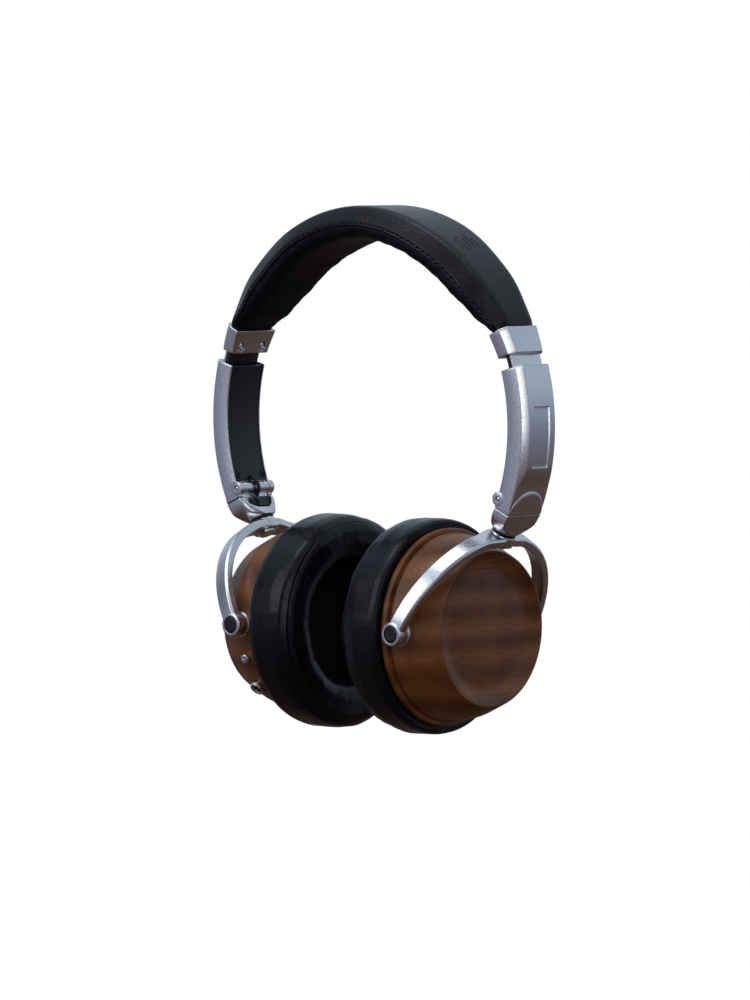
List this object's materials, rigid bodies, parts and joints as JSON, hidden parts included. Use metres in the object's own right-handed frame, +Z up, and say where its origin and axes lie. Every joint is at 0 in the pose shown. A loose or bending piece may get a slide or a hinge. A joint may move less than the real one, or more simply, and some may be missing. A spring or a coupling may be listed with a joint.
{
  "type": "headphones",
  "caption": "Folding over-ear headphones with round wooden cups, metal yokes and slider arms, thick leather ear pads and a padded leather headband.",
  "frame": {"origin": "middle of the headband's underside at its crown, where it rests on a head or a stand", "axes": "+Z up, +X to the wearer's right, +Y to the wearer's front"},
  "size_m": [0.1664, 0.086, 0.2071],
  "materials": {
    "leather": "fine-grained black synthetic leather, semi-matt",
    "aluminium": "satin",
    "steel": "polished",
    "plastic": "fine matt black",
    "rubber": "matt black",
    "walnut": "walnut, satin lacquer",
    "cloth": "black acoustic cloth",
    "film": "thin polymer film"
  },
  "bodies": {
    "headband": {"headband_cover": "leather", "headband_cushion": "leather", "headband_spring": "steel", "headband_wire": "rubber", "right_end_cap": "aluminium", "right_cap_screw_front": "steel", "right_cap_screw_rear": "steel", "right_slider_band": "steel", "right_slider_rail": "plastic", "left_end_cap": "aluminium", "left_cap_screw_front": "steel", "left_cap_screw_rear": "steel", "left_slider_band": "steel", "left_slider_rail": "plastic"},
    "right_arm": {"right_slider_arm": "aluminium", "right_arm_cover": "plastic", "right_cover_screw_front": "steel", "right_cover_screw_rear": "steel", "right_hinge_pin": "steel", "right_hinge_wire": "rubber"},
    "right_bracket": {"right_fold_bracket": "aluminium", "right_bracket_cover": "plastic", "right_swivel_stud": "steel", "right_swivel_washer": "rubber"},
    "right_yoke": {"right_yoke": "aluminium", "right_pivot_plug_front": "rubber", "right_pivot_plug_rear": "rubber"},
    "right_cup": {"right_wood_cup": "walnut", "right_baffle": "plastic", "right_diaphragm": "film", "right_driver_basket": "plastic", "right_driver_magnet": "steel", "right_speaker_cloth": "cloth", "right_ear_pad": "leather", "right_pivot_screw_front": "steel", "right_pivot_screw_rear": "steel"},
    "left_arm": {"left_slider_arm": "aluminium", "left_arm_cover": "plastic", "left_cover_screw_front": "steel", "left_cover_screw_rear": "steel", "left_hinge_pin": "steel", "left_hinge_wire": "rubber"},
    "left_bracket": {"left_fold_bracket": "aluminium", "left_bracket_cover": "plastic", "left_swivel_stud": "steel", "left_swivel_washer": "rubber"},
    "left_yoke": {"left_yoke": "aluminium", "left_pivot_plug_front": "rubber", "left_pivot_plug_rear": "rubber"},
    "left_cup": {"left_wood_cup": "walnut", "left_baffle": "plastic", "left_diaphragm": "film", "left_driver_basket": "plastic", "left_driver_magnet": "steel", "left_speaker_cloth": "cloth", "left_ear_pad": "leather", "left_pivot_screw_front": "steel", "left_pivot_screw_rear": "steel", "left_jack_socket": "steel", "left_jack_screw": "steel"}
  },
  "joints": [
    {"name": "right_slider", "type": "hinge", "parent": "headband", "child": "right_arm", "pos_m": [-0.0035, 0, -0.072], "axis": [0, 1, 0], "range_deg": [-3.2, 12]},
    {"name": "right_fold", "type": "hinge", "parent": "right_arm", "child": "right_bracket", "pos_m": [0.06871, 0, -0.10015], "axis": [0, 1, 0], "range_deg": [0, 90], "deforming": ["right_ear_pad", "left_ear_pad"]},
    {"name": "right_swivel", "type": "hinge", "parent": "right_bracket", "child": "right_yoke", "pos_m": [0.042, 0, -0.1517], "axis": [0.4924, 0, 0.8704], "range_deg": [-15, 15]},
    {"name": "right_tilt", "type": "hinge", "parent": "right_yoke", "child": "right_cup", "pos_m": [0.042, 0, -0.1517], "axis": [0, 1, 0], "range_deg": [-12, 12]},
    {"name": "left_slider", "type": "hinge", "parent": "headband", "child": "left_arm", "pos_m": [0.0035, 0, -0.072], "axis": [0, 1, 0], "range_deg": [-12, 3.2]},
    {"name": "left_fold", "type": "hinge", "parent": "left_arm", "child": "left_bracket", "pos_m": [-0.06871, 0, -0.10015], "axis": [0, 1, 0], "range_deg": [-90, 0], "deforming": ["right_ear_pad", "left_ear_pad"]},
    {"name": "left_swivel", "type": "hinge", "parent": "left_bracket", "child": "left_yoke", "pos_m": [-0.042, 0, -0.1517], "axis": [-0.4924, 0, 0.8704], "range_deg": [-15, 15]},
    {"name": "left_tilt", "type": "hinge", "parent": "left_yoke", "child": "left_cup", "pos_m": [-0.042, 0, -0.1517], "axis": [0, 1, 0], "range_deg": [-12, 12]}
  ]
}
